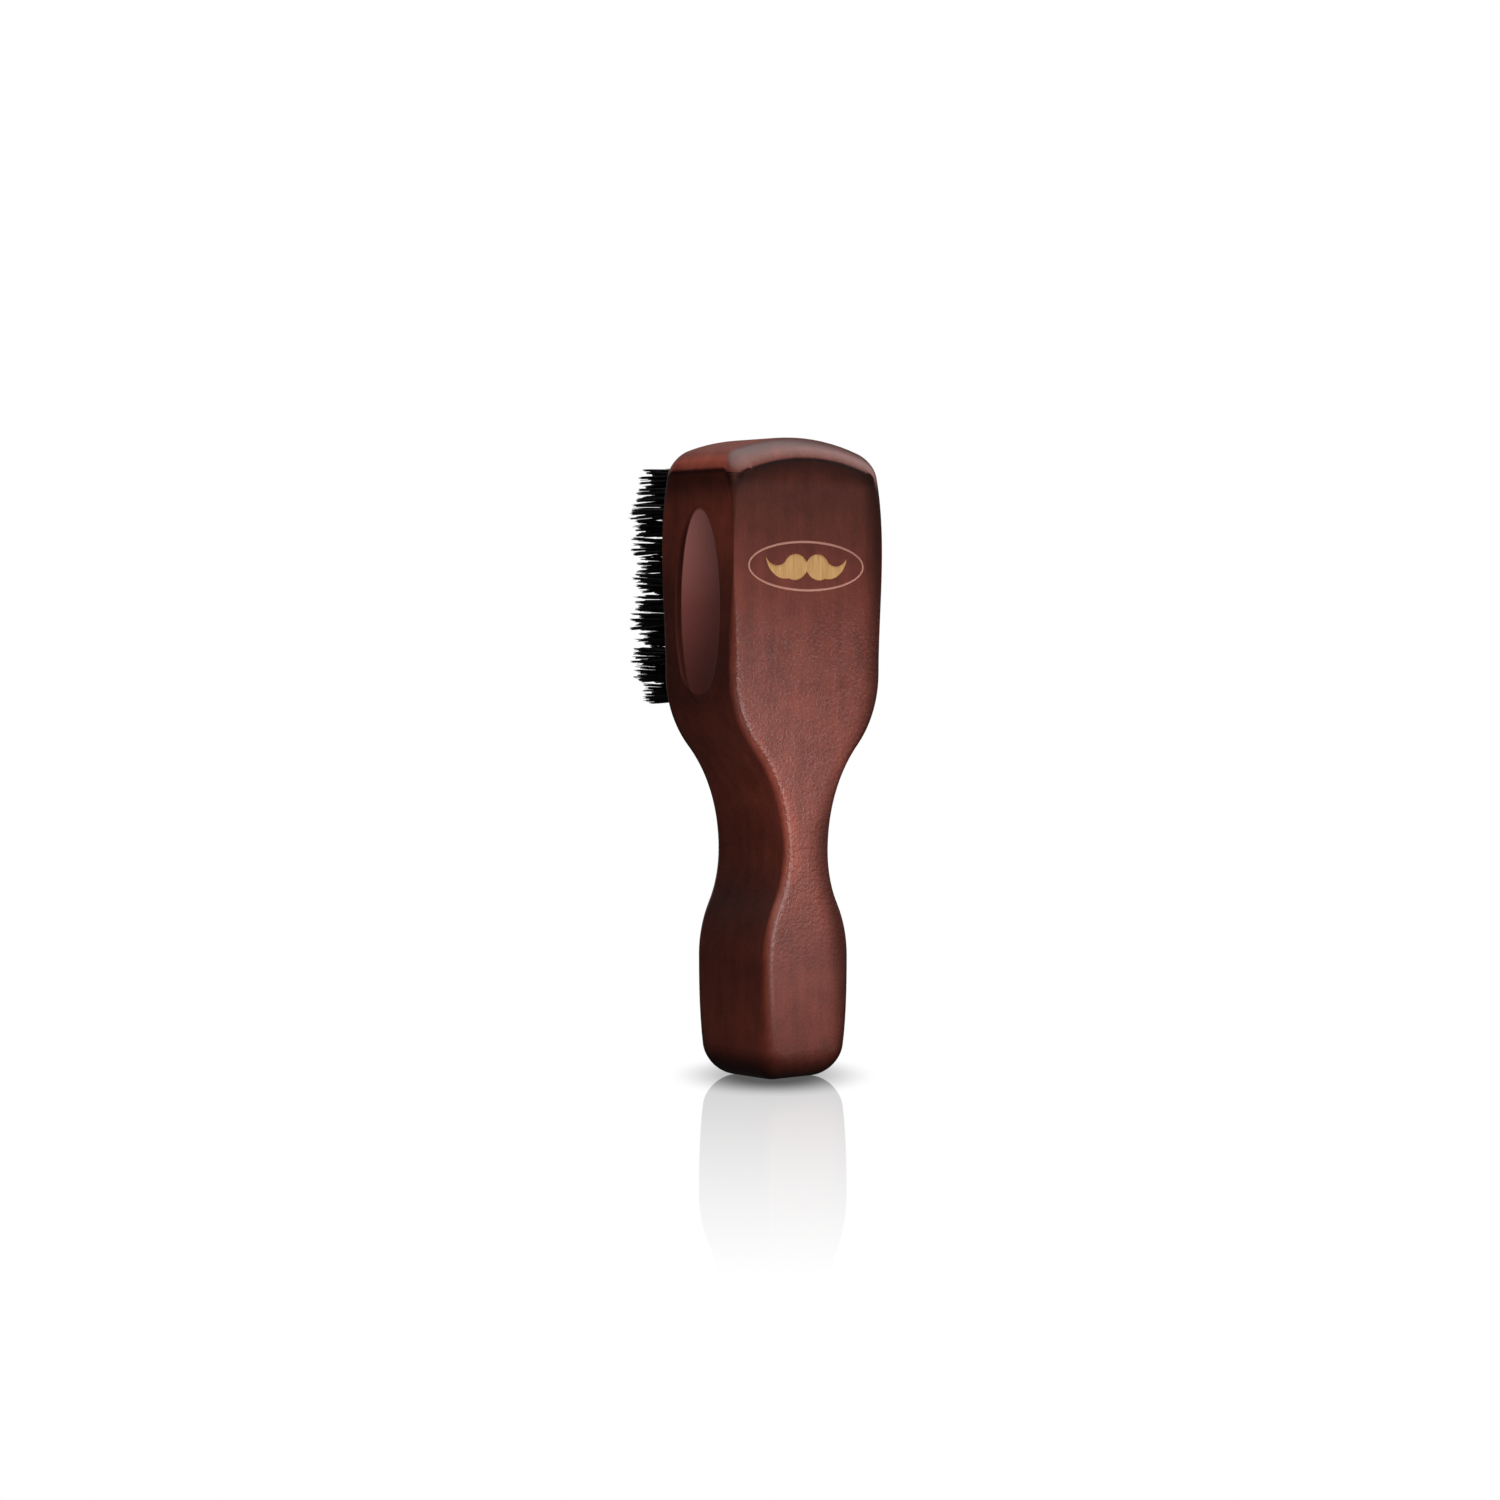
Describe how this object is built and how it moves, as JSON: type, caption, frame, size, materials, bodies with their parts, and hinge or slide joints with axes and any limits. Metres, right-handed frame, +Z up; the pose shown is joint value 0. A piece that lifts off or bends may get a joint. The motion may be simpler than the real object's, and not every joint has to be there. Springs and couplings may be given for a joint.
{
  "type": "beard brush",
  "caption": "Club-shaped wooden beard brush: waisted handle, rounded head with finger recesses, short black bristle tufts.",
  "frame": {"origin": "centre of the flat end of the handle's butt", "axes": "+Z up the handle to the crown of the head, +Y the way the bristles point, +X across the width"},
  "size_m": [0.049, 0.0455, 0.16],
  "materials": {
    "stained_wood": "red-brown stain under semi-gloss lacquer",
    "bristle": "black bristle, slight sheen",
    "anchor_wire": "bright flat wire"
  },
  "bodies": {
    "root": {"wooden_body": "stained_wood", "bristle_row_01": "bristle", "bristle_row_02": "bristle", "bristle_row_03": "bristle", "bristle_row_04": "bristle", "bristle_row_05": "bristle", "bristle_row_06": "bristle", "bristle_row_07": "bristle", "bristle_row_08": "bristle", "bristle_row_09": "bristle", "bristle_row_10": "bristle", "bristle_row_11": "bristle", "bristle_row_12": "bristle", "bristle_row_13": "bristle", "anchor_row_01": "anchor_wire", "anchor_row_02": "anchor_wire", "anchor_row_03": "anchor_wire", "anchor_row_04": "anchor_wire", "anchor_row_05": "anchor_wire", "anchor_row_06": "anchor_wire", "anchor_row_07": "anchor_wire", "anchor_row_08": "anchor_wire", "anchor_row_09": "anchor_wire", "anchor_row_10": "anchor_wire", "anchor_row_11": "anchor_wire", "anchor_row_12": "anchor_wire", "anchor_row_13": "anchor_wire"}
  },
  "joints": []
}
